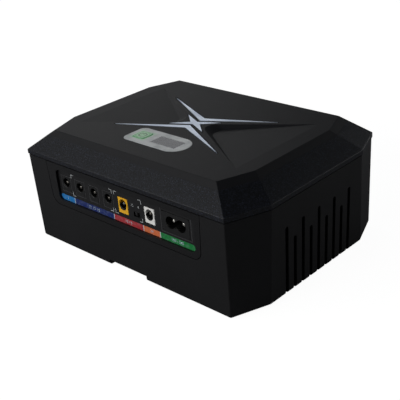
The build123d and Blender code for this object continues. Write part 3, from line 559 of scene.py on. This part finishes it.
@dataclass(frozen=True)
class SmokedLens:
    """The pale lens: a milky margin, a dark window over the display and a green glow by the key."""

    name: str
    window: tuple[float, float, float, float]
    key_middle: tuple[float, float]
    glow_half: float = 5.2
    glow_reach: float = 3.2
    border: float = 0.5
    tint: Colour = srgb(196, 201, 201)
    deep_tint: Colour = srgb(160, 166, 168)
    window_tint: Colour = srgb(70, 75, 86)
    window_dark: Colour = srgb(46, 50, 60)
    glow_tint: Colour = srgb(140, 200, 150)

    def make(self) -> bpy.types.Material:
        """Build the material."""
        shader = Shader(self.name)
        x, y, _ = shader.axes()
        left, low, right, high = self.window
        window = inside(x, y, (left, low), (right, high), 0.15)
        wide = self.border
        border = inside(x, y, (left - wide, low - wide), (right + wide, high + wide), 0.3) - window
        cloud = shader.noise(0.09, 2.0)
        rows = shader.noise(2.2, 2.0, (1.0, 0.2, 1.0))
        base = shader.blend(cloud.ramp(0.3, 0.7), self.tint, self.deep_tint)
        reach_x = (x - self.key_middle[0]).absolute() - self.glow_half
        reach_y = (y - self.key_middle[1]).absolute() - self.glow_half
        glow = reach_x.most(reach_y).ramp(self.glow_reach, -0.2)
        base = shader.blend(glow * 0.55, base, self.glow_tint)
        dark = shader.blend(rows * 0.5 + cloud * 0.5, self.window_tint, self.window_dark)
        base = shader.blend(border.most(0.0) * 0.35, base, self.window_dark)
        return shader.finish(
            base_color=shader.blend(window, base, dark),
            roughness=cloud * 0.08 + 0.14 + window * 0.06,
            normal=shader.bump(rows, 0.004),
            emission_color=shader.blend(glow * 0.8, (0.0, 0.0, 0.0), self.glow_tint),
            emission_strength=0.1,
        )


@dataclass(frozen=True)
class LitKey:
    """The translucent green key, brightest round its middle, with a printed on-off symbol."""

    name: str
    middle: tuple[float, float]
    tint: Colour = srgb(132, 186, 138)
    edge_tint: Colour = srgb(84, 148, 98)
    symbol_tint: Colour = srgb(16, 84, 38)
    symbol_radius: float = 2.6
    symbol_half_width: float = 0.5
    opening_half_width: float = 1.2
    blur: float = 0.12

    def _symbol(self, away_x: Wire, away_y: Wire, far: Wire) -> Wire:
        """Mask a ring that is open at the back, and the bar in its opening."""
        soft, half, gap = self.blur, self.symbol_half_width, self.opening_half_width
        radius = self.symbol_radius
        ring = (far - radius).absolute().ramp(half + soft, half - soft)
        side = away_x.absolute()
        open_back = side.ramp(gap + soft, gap - soft) * away_y.ramp(0.0, 0.2)
        along = (away_y - radius * 0.75).absolute().ramp(radius * 0.6, radius * 0.5)
        bar = side.ramp(half + soft, half - soft) * along
        return (ring * (1 - open_back)).most(bar)

    def make(self) -> bpy.types.Material:
        """Build the material."""
        shader = Shader(self.name)
        x, y, _ = shader.axes()
        away_x, away_y = x - self.middle[0], y - self.middle[1]
        far = (away_x * away_x + away_y * away_y) ** 0.5
        cloud = shader.noise(0.3, 3.0)
        share = far.ramp(2.0, 6.5) * 0.8 + cloud * 0.2
        colour = shader.blend(share, self.tint, self.edge_tint)
        colour = shader.blend(self._symbol(away_x, away_y, far), colour, self.symbol_tint)
        return shader.finish(
            base_color=colour,
            roughness=cloud * 0.1 + 0.2,
            normal=shader.bump(cloud, 0.01),
            emission_color=colour,
            emission_strength=0.2,
        )


@dataclass(frozen=True)
class PrintedInk:
    """Opaque printing ink with slight unevenness."""

    name: str
    tint: Colour
    thin_tint: Colour
    roughness: float = 0.45

    def make(self) -> bpy.types.Material:
        """Build the material."""
        shader = Shader(self.name)
        patch = shader.noise(2.5, 3.0)
        return shader.finish(
            base_color=shader.blend(patch.ramp(0.35, 0.75), self.tint, self.thin_tint),
            roughness=patch * 0.2 + self.roughness,
            normal=shader.bump(patch, 0.004),
        )


@dataclass(frozen=True)
class CircuitBoard:
    """Green solder resist over faint copper tracks."""

    name: str
    tint: Colour = srgb(16, 74, 38)
    track_tint: Colour = srgb(34, 104, 56)

    def make(self) -> bpy.types.Material:
        """Build the material."""
        shader = Shader(self.name)
        settings = {"distance": "MANHATTAN"}
        values = {"Vector": shader.where(), "Scale": 0.22 / MM}
        track = shader.node("ShaderNodeTexVoronoi", settings, values)[0].ramp(0.5, 0.62)
        grain = shader.noise(2.0, 2.0)
        return shader.finish(
            base_color=shader.blend(track * 0.8 + grain * 0.15, self.tint, self.track_tint),
            roughness=grain * 0.15 + 0.3,
            normal=shader.bump(track, 0.03),
            coat_weight=0.3,
        )


@dataclass(frozen=True)
class WoundTape:
    """Yellow tape wound in turns over a coil."""

    name: str
    tint: Colour = srgb(196, 156, 40)
    edge_tint: Colour = srgb(140, 100, 24)
    turns: float = 1.6

    def make(self) -> bpy.types.Material:
        """Build the material."""
        shader = Shader(self.name)
        _, _, z = shader.axes()
        turn = (z * self.turns).sine().absolute()
        crease = shader.noise(0.6, 3.0)
        return shader.finish(
            base_color=shader.blend(turn * 0.4 + crease * 0.4, self.tint, self.edge_tint),
            roughness=crease * 0.2 + 0.25,
            normal=shader.bump(turn, 0.1),
        )


@dataclass(frozen=True)
class ClearGlass:
    """Thin clear glass with a faint tint."""

    name: str
    tint: Colour
    alpha: float
    roughness: float = 0.08

    def make(self) -> bpy.types.Material:
        """Build the material."""
        shader = Shader(self.name)
        cloud = shader.noise(0.3, 2.0)
        return shader.finish(
            base_color=shader.blend(cloud * 0.3, self.tint, tuple(0.8 * c for c in self.tint)),
            roughness=cloud * 0.06 + self.roughness,
            normal=shader.bump(cloud, 0.004),
            alpha=self.alpha,
        )


@dataclass(frozen=True)
class WireJacket:
    """Wire insulation, coloured by the wire's place in its group."""

    name: str
    split_at: float
    tint: Colour = srgb(150, 24, 22)
    other_tint: Colour = srgb(22, 22, 24)

    def make(self) -> bpy.types.Material:
        """Build the material."""
        shader = Shader(self.name)
        x, _, _ = shader.axes()
        grain = shader.noise(1.5, 2.0)
        side = (x - self.split_at).ramp(-0.1, 0.1)
        colour = shader.blend(side, self.other_tint, self.tint)
        return shader.finish(
            base_color=shader.blend(grain * 0.2, colour, srgb(120, 110, 104)),
            roughness=grain * 0.2 + 0.35,
            normal=shader.bump(grain, 0.02),
        )


# ---------------------------------------------------------------- modelling tools


def select_nothing() -> None:
    """Leave edit mode and deselect every object."""
    if bpy.context.object is not None and bpy.context.object.mode != "OBJECT":
        bpy.ops.object.mode_set(mode="OBJECT")
    bpy.ops.object.select_all(action="DESELECT")


def settle(piece: bpy.types.Object) -> bpy.types.Object:
    """Move a piece's place into its mesh, so that its object sits at the origin.

    Args:
        piece: The piece.

    Returns:
        The same piece.
    """
    select_nothing()
    piece.select_set(True)
    bpy.context.view_layer.objects.active = piece
    bpy.ops.object.transform_apply(location=True, rotation=True, scale=True)
    return piece


def pick_faces(piece: bpy.types.Object, wanted: Callable[[Any], bool]) -> None:
    """Select only the faces that pass a test, in edit mode.

    Args:
        piece: The piece being edited.
        wanted: The test for a face.
    """
    bpy.ops.mesh.select_all(action="DESELECT")
    bpy.ops.mesh.select_mode(type="FACE")
    mesh = bmesh.from_edit_mesh(piece.data)
    for face in mesh.faces:
        face.select_set(wanted(face))
    bmesh.update_edit_mesh(piece.data)


def pressed_sheet(
    name: str, middle: Place, size: tuple[float, float], thickness: float
) -> bpy.types.Object:
    """Model a thin upright sheet that faces -Y.

    Args:
        name: The piece's name.
        middle: Middle of its front face, in metres.
        size: Width and height, in metres.
        thickness: How far it reaches towards +Y, in metres.

    Returns:
        The sheet, in edit mode.
    """
    select_nothing()
    bpy.ops.mesh.primitive_cube_add(size=1.0, location=(middle[0], middle[1] + thickness / 2, middle[2]))
    piece = bpy.context.object
    piece.name = name
    piece.scale = (size[0], thickness, size[1])
    settle(piece)
    bpy.ops.object.mode_set(mode="EDIT")
    return piece


def join(name: str, pieces: Sequence[bpy.types.Object]) -> bpy.types.Object:
    """Join several pieces into one.

    Args:
        name: The name of the result.
        pieces: The pieces.

    Returns:
        The joined piece.
    """
    select_nothing()
    for piece in pieces:
        piece.select_set(True)
    bpy.context.view_layer.objects.active = pieces[0]
    if len(pieces) > 1:
        bpy.ops.object.join()
    result = bpy.context.object
    result.name = name
    result.data.name = name
    return settle(result)


def printed_text(
    name: str, words: str, middle: Place, height: float, thickness: float
) -> bpy.types.Object:
    """Make flat raised print that faces -Y.

    Args:
        name: The piece's name.
        words: What it says, plain numbers only.
        middle: Middle of the print, in metres.
        height: Height of the characters, in metres.
        thickness: How far the print stands out, in metres.

    Returns:
        The print, as a mesh.
    """
    select_nothing()
    bpy.ops.object.text_add(location=(0.0, 0.0, 0.0))
    piece = bpy.context.object
    piece.name = name
    piece.data.body = words
    piece.data.align_x = "CENTER"
    piece.data.align_y = "CENTER"
    piece.data.size = height * LETTER_SIZE
    piece.data.resolution_u = 4
    piece.data.extrude = thickness / 2
    bpy.ops.object.convert(target="MESH")
    piece = bpy.context.object
    piece.rotation_euler = (math.pi / 2, 0.0, 0.0)
    piece.location = middle
    return settle(piece)


def dress(piece: bpy.types.Object, finish: bpy.types.Material) -> None:
    """Give a piece one material.

    Args:
        piece: The piece.
        finish: The material.
    """
    if piece.material_slots:
        for place in piece.material_slots:
            place.link = "OBJECT"
            place.material = finish
    else:
        piece.data.materials.append(finish)


def report(piece: bpy.types.Object, body: str) -> None:
    """Log a finished piece."""
    log.info("%s: %d faces, rides on %s", piece.name, len(piece.data.polygons), body)


# ---------------------------------------------------------------- sub-assemblies


@dataclass(frozen=True)
class LightPanel:
    """A soft light: where it hangs, what it faces, its width and height, in metres, and its watts."""

    name: str
    place: Place
    target: Place
    size: tuple[float, float]
    power: float


@dataclass
class Studio:
    """A pale floor, soft lights and the camera."""

    panels: tuple[LightPanel, ...] = (
        LightPanel("front_panel", (-0.45, -1.3, 0.5), (0.0, 0.0, 0.04), (1.3, 0.8), 13.0),
        LightPanel("slope_light", (-0.62, -0.42, 0.86), (0.04, -0.05, 0.06), (0.5, 0.5), 0.45),
        LightPanel("back_panel", (-1.72, 0.78, 0.95), (0.0, 0.0, 0.05), (1.9, 0.8), 4.8),
        LightPanel("side_fill", (1.2, 0.5, 0.2), (0.0, 0.0, 0.03), (0.7, 0.4), 1.2),
        LightPanel("rear_fill", (0.5, 1.3, 0.2), (0.0, 0.0, 0.03), (0.9, 0.4), 2.6),
    )
    air_tint: Colour = (0.85, 0.92, 1.0)
    air_strength: float = 0.06
    floor_glow: float = 1.2
    floor_glow_share: float = 0.8
    floor_dim: Colour = (0.32, 0.32, 0.33)
    floor_size: float = 6.0
    white: Colour = (0.93, 0.93, 0.93)
    camera_place: Place = (0.3678, -0.3658, 0.2811)
    yaw: float = 45.29
    pitch: float = -26.26
    roll: float = -5.0
    lens_mm: float = 73.63
    sensor_mm: float = 36.0

    def build(self) -> None:
        """Make the camera, the floor, the surroundings and the lights."""
        self._camera()
        self._floor()
        self._surroundings()
        for panel in self.panels:
            self._hang(panel)

    def _camera(self) -> None:
        """Place the camera at the viewing angle."""
        data = bpy.data.cameras.new("camera")
        data.lens = self.lens_mm
        data.sensor_width = self.sensor_mm
        data.clip_start = 0.01
        data.clip_end = 30.0
        camera = bpy.data.objects.new("camera", data)
        bpy.context.scene.collection.objects.link(camera)
        turned = (
            Matrix.Rotation(math.radians(self.yaw), 4, "Z")
            @ Matrix.Rotation(math.radians(90.0 + self.pitch), 4, "X")
            @ Matrix.Rotation(math.radians(self.roll), 4, "Z")
        )
        camera.matrix_world = Matrix.Translation(self.camera_place) @ turned
        bpy.context.scene.camera = camera

    def _floor(self) -> None:
        """Lay the pale floor."""
        select_nothing()
        bpy.ops.mesh.primitive_plane_add(size=self.floor_size)
        floor = bpy.context.object
        floor.name = "studio_floor"
        shader = Shader("floor_paint")
        grain = shader.noise(0.01, 2.0)
        paint = shader.blend(grain * 0.1, self.white, (0.9, 0.9, 0.9))
        shader.feed(shader.surface.inputs["Base Color"], paint)
        shader.feed(shader.surface.inputs["Roughness"], 0.9)
        shader.feed(shader.surface.inputs["Specular IOR Level"], 0.1)
        light = {"Color": (1.0, 1.0, 1.0), "Strength": self.floor_glow}
        glow = shader.node("ShaderNodeEmission", {}, light)[0]
        dim = shader.node("ShaderNodeBsdfDiffuse", {}, {"Color": self.floor_dim})[0]
        seen = shader.node("ShaderNodeLightPath", {}, {})[0]
        bright = self._mix(shader, self.floor_glow_share, Wire(shader, shader.surface.outputs[0]), glow)
        shown = self._mix(shader, seen, dim, bright)
        shader.links.new(shown.socket, shader.output.inputs["Surface"])
        floor.data.materials.append(shader.material)

    @staticmethod
    def _mix(shader: Shader, share: Union[Wire, float], first: Wire, second: Wire) -> Wire:
        """Mix two shaders."""
        return shader.node("ShaderNodeMixShader", {}, {0: share, 1: first, 2: second})[0]

    def _surroundings(self) -> None:
        """Show a white backdrop, and light the object with less of it."""
        world = bpy.data.worlds.new("studio_air")
        bpy.context.scene.world = world
        world.use_nodes = True
        nodes, links = world.node_tree.nodes, world.node_tree.links
        lit = nodes["Background"]
        lit.inputs["Color"].default_value = (*self.air_tint, 1.0)
        lit.inputs["Strength"].default_value = self.air_strength
        shown = nodes.new("ShaderNodeBackground")
        shown.inputs["Color"].default_value = (1.0, 1.0, 1.0, 1.0)
        shown.inputs["Strength"].default_value = 1.0
        path = nodes.new("ShaderNodeLightPath")
        mixer = nodes.new("ShaderNodeMixShader")
        links.new(path.outputs["Is Camera Ray"], mixer.inputs[0])
        links.new(lit.outputs[0], mixer.inputs[1])
        links.new(shown.outputs[0], mixer.inputs[2])
        links.new(mixer.outputs[0], nodes["World Output"].inputs["Surface"])
        bpy.context.scene.view_settings.view_transform = "Standard"

    @staticmethod
    def _hang(panel: LightPanel) -> None:
        """Hang a soft light panel that faces a point."""
        data = bpy.data.lights.new(panel.name, "AREA")
        data.shape = "RECTANGLE"
        data.size, data.size_y = panel.size
        data.energy = panel.power
        light = bpy.data.objects.new(panel.name, data)
        bpy.context.scene.collection.objects.link(light)
        aim = (Vector(panel.target) - Vector(panel.place)).to_track_quat("-Z", "Y")
        light.matrix_world = Matrix.Translation(panel.place) @ aim.to_matrix().to_4x4()


@dataclass
class Case:
    """The drafted shell, the sloped cover with its inlays, the feet and the case screws."""

    nodes: dict[str, bpy.types.Object]
    shell: MouldedPlastic = MouldedPlastic(
        "shell_plastic", srgb(14, 14, 15), srgb(26, 26, 28), 2.4, 0.03, 0.5, 0.3, 0.2
    )
    rubber: MouldedPlastic = MouldedPlastic(
        "foot_rubber", srgb(22, 22, 22), srgb(34, 34, 34), 1.2, 0.02, 0.75, 0.2, 0.0
    )
    silver: SilverInlay = SilverInlay("inlay_silver")
    steel: PlatedMetal = PlatedMetal("screw_steel", srgb(190, 190, 192), srgb(140, 140, 144), 0.28)

    def build(self) -> None:
        """Dress the case."""
        top_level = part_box("upper_cover")[1].z / MM
        dress(self.nodes["upper_cover"], CoverPlastic("cover_plastic", top_level).make())
        dress(self.nodes["lower_shell"], self.shell.make())
        dress(self.nodes["rubber_feet"], self.rubber.make())
        silver = self.silver.make()
        for name in ("inlay_back", "inlay_front", "inlay_star"):
            dress(self.nodes[name], silver)
        steel = self.steel.make()
        for name in ("case_screws", "display_screws", "output_board_screws", "power_board_screws"):
            dress(self.nodes[name], steel)


@dataclass
class Display:
    """The pale lens, the lit key with its symbol, and the display under its window."""

    nodes: dict[str, bpy.types.Object]

    def build(self) -> None:
        """Dress the lens, the key and the display."""
        low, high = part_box("lcd_glass")
        key_low, key_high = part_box("power_key")
        middle = ((key_low.x + key_high.x) / 2 / MM, (key_low.y + key_high.y) / 2 / MM)
        window = (low.x / MM, low.y / MM, high.x / MM, high.y / MM)
        dress(self.nodes["display_lens"], SmokedLens("smoked_lens", window, middle).make())
        dress(self.nodes["power_key"], LitKey("lit_key", middle).make())
        dress(self.nodes["lcd_glass"], ClearGlass("display_glass", srgb(82, 88, 98), 1.0).make())
        milky = ColouredPlastic("light_guide", srgb(206, 210, 206), srgb(180, 188, 182)).make()
        for name in ("lcd_backlight", "key_lamps"):
            dress(self.nodes[name], milky)


class SocketPlastic(Enum):
    """The plastics of the barrel sockets: tint, shaded tint, roughness and coat."""

    BLACK = (srgb(12, 12, 13), srgb(20, 20, 21), 0.34, 0.1)
    YELLOW = (srgb(255, 196, 40), srgb(240, 172, 28), 0.3, 0.2)
    WHITE = (srgb(255, 254, 250), srgb(240, 238, 232), 0.3, 0.2)


@dataclass
class Ports:
    """The port panel: label, sockets, slide switch and mains inlet."""

    nodes: dict[str, bpy.types.Object]
    sockets: tuple[SocketPlastic, ...] = (
        *(SocketPlastic.BLACK,) * 4,
        SocketPlastic.YELLOW,
        SocketPlastic.WHITE,
    )
    bands: tuple[ColourBand, ...] = (
        ColourBand(-62.8, -48.0, srgb(28, 118, 186), "5"),
        ColourBand(-48.0, -7.8, srgb(26, 42, 104), "12  12  12"),
        ColourBand(-7.8, 19.9, srgb(168, 46, 52), "12 / 9"),
        ColourBand(19.9, 35.0, srgb(214, 112, 66), "24"),
        ColourBand(35.0, 64.7, srgb(20, 122, 58), "100 - 240"),
    )
    band_low: float = 39.3
    band_high: float = 43.4
    mark_low: float = 45.1
    mark_high: float = 60.6
    mark_groups: tuple[tuple[float, float], ...] = ((-48.7, -7.6), (-5.5, 19.8))
    mark_leg: float = 2.7
    mark_width: float = 0.42
    print_rise: float = 0.04
    bore_radius: float = 3.2
    switch_numbers: tuple[tuple[str, float], ...] = (("12", 11.3), ("9", 17.0))
    switch_number_height: float = 54.9
    switch_figure: float = 1.9
    band_figure: float = 2.0
    ink: PrintedInk = PrintedInk("white_ink", srgb(196, 200, 200), srgb(160, 164, 166))
    faint_ink: PrintedInk = PrintedInk("faint_ink", srgb(198, 216, 226), srgb(160, 182, 200))

    def build(self) -> None:
        """Dress the panel and its parts, and model the raised print."""
        black = MouldedPlastic(
            "panel_plastic", srgb(14, 14, 15), srgb(26, 26, 28), 2.4, 0.025, 0.45, 0.3, 0.15
        )
        dress(self.nodes["port_panel"], black.make())
        frames = []
        for name in ("jack_body_1", "jack_body_2", "jack_body_3", "jack_body_4", "ac_inlet"):
            low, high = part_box(name)
            frames.append((low.x / MM, low.z / MM, high.x / MM, high.z / MM))
        label = PrintedLabel("printed_label", self.bands, self.band_low, self.band_high, tuple(frames))
        dress(self.nodes["port_label"], label.make())
        black_socket = ColouredPlastic("socket_black", *SocketPlastic.BLACK.value).make()
        for index, plastic in enumerate(self.sockets, 1):
            name = f"jack_body_{index}"
            finish = black_socket
            if plastic is not SocketPlastic.BLACK:
                title = f"socket_{plastic.name.lower()}"
                finish = ColouredPlastic(title, *plastic.value, self._bore(name)).make()
            dress(self.nodes[name], finish)
        for name in ("slide_switch_knob", "slide_switch_base", "ac_inlet"):
            dress(self.nodes[name], black_socket)
        bright = PlatedMetal("contact_metal", srgb(255, 252, 244), srgb(222, 218, 206), 0.2).make()
        dull = PlatedMetal("socket_metal", srgb(150, 146, 138), srgb(112, 108, 100), 0.3).make()
        for name in ("slide_switch_case", "ac_inlet_pins", "fuse_clips"):
            dress(self.nodes[name], bright)
        for name in ("jack_pins", "jack_contacts"):
            dress(self.nodes[name], dull)
        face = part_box("port_label")[0].y
        self._marks(face)
        self._numbers(face)

    def _bore(self, name: str) -> Bore:
        """Find a socket's bore from the box of its body.

        Args:
            name: The socket body's node.

        Returns:
            The bore, in millimetres.
        """
        low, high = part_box(name)
        return Bore((low.x + high.x) / 2 / MM, (low.z + high.z) / 2 / MM, self.bore_radius)

    def _marks(self, face: float) -> None:
        """Model the thin corner marks that group the sockets.

        Args:
            face: Y of the label's front face, in metres.
        """
        legs = []
        long, thin, rise = self.mark_leg * MM, self.mark_width * MM, self.print_rise * MM
        for left, right in self.mark_groups:
            for x, inward in ((left, 1), (right, -1)):
                for z, upward in ((self.mark_low, 1), (self.mark_high, -1)):
                    flat = (x * MM + inward * long / 2, face - rise, z * MM)
                    upright = (x * MM, face - rise, z * MM + upward * long / 2)
                    legs.append(self._leg(flat, (long, thin), rise))
                    legs.append(self._leg(upright, (thin, long), rise))
        marks = join("label_marks", legs)
        dress(marks, self.ink.make())
        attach(marks, CASE_BODY)
        report(marks, CASE_BODY)

    @staticmethod
    def _leg(middle: Place, size: tuple[float, float], rise: float) -> bpy.types.Object:
        """Model one leg of a corner mark, its front edges broken."""
        leg = pressed_sheet("leg", middle, size, rise)
        pick_faces(leg, lambda face: face.normal.y < -0.9)
        bpy.ops.mesh.bevel(offset=rise * 0.4, segments=1, affect="EDGES")
        select_nothing()
        return leg

    def _numbers(self, face: float) -> None:
        """Print plain numbers above the slide switch and along the colour bands.

        Args:
            face: Y of the label's front face, in metres.
        """
        rise = self.print_rise * MM
        depth = face - rise / 2
        level = self.switch_number_height * MM
        switch_print = [
            printed_text("switch", words, (x * MM, depth, level), self.switch_figure * MM, rise)
            for words, x in self.switch_numbers
        ]
        above = join("switch_numbers", switch_print)
        dress(above, self.ink.make())
        level = (self.band_low + self.band_high) / 2 * MM
        band_print = []
        for band in self.bands:
            middle = ((band.left + band.right) / 2 * MM, depth, level)
            band_print.append(printed_text("band", band.numbers, middle, self.band_figure * MM, rise))
        below = join("band_numbers", band_print)
        dress(below, self.faint_ink.make())
        for piece in (above, below):
            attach(piece, CASE_BODY)
            report(piece, CASE_BODY)


@dataclass
class Electronics:
    """The boards, the battery pack and everything on them."""

    nodes: dict[str, bpy.types.Object]

    def build(self) -> None:
        """Dress the inner parts."""
        black = MouldedPlastic(
            "component_black", srgb(24, 24, 25), srgb(38, 38, 40), 1.6, 0.02, 0.5, 0.4, 0.1
        )
        finishes = {
            CircuitBoard("board_resist"): (
                "display_board", "output_board", "power_board", "protection_board",
            ),
            black: (
                "key_switch", "key_plunger", "bridge_rectifier", "power_transistors",
                "cell_holder_left", "cell_holder_right",
            ),
            WoundTape("winding_tape"): ("transformer_winding", "choke_winding"),
            MouldedPlastic("ferrite", srgb(44, 44, 46), srgb(66, 66, 68), 1.0, 0.03, 0.6, 0.4, 0.0): (
                "transformer_core", "choke_core",
            ),
            ColouredPlastic("cell_sleeve", srgb(26, 84, 146), srgb(18, 62, 120)): ("battery_cells",),
            ColouredPlastic("can_sleeve", srgb(24, 26, 32), srgb(40, 44, 54)): (
                "bulk_capacitor", "output_capacitors",
            ),
            ColouredPlastic("film_case", srgb(206, 168, 52), srgb(184, 144, 40), 0.45, 0.0): (
                "filter_capacitor",
            ),
            ColouredPlastic("terminal_green", srgb(30, 116, 64), srgb(22, 92, 50), 0.42, 0.0): (
                "mains_terminal", "output_terminal",
            ),
            PlatedMetal("nickel", srgb(196, 192, 182), srgb(168, 162, 150), 0.3): ("nickel_strips",),
            PlatedMetal("extruded_alloy", srgb(196, 198, 202), srgb(160, 162, 168), 0.36): (
                "heat_sink_1", "heat_sink_2",
            ),
            ClearGlass("fuse_glass", srgb(214, 220, 224), 0.45): ("fuse",),
        }
        for finish, names in finishes.items():
            material = finish.make()
            for name in names:
                dress(self.nodes[name], material)
        for name in ("mains_leads", "output_leads", "battery_leads", "display_leads"):
            low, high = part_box(name)
            split = (low.x + high.x) / 2 / MM
            dress(self.nodes[name], WireJacket(f"jacket_{name}", split).make())


def main() -> None:
    """Build the studio and dress every sub-assembly, in order."""
    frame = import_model()
    Studio().build()
    for part in (Case, Display, Ports, Electronics):
        part(frame["nodes"]).build()
        log.info("%s done", part.__name__)


if __name__ == "__main__":
    logging.basicConfig(level=logging.INFO, format="%(name)s: %(message)s")
    main()
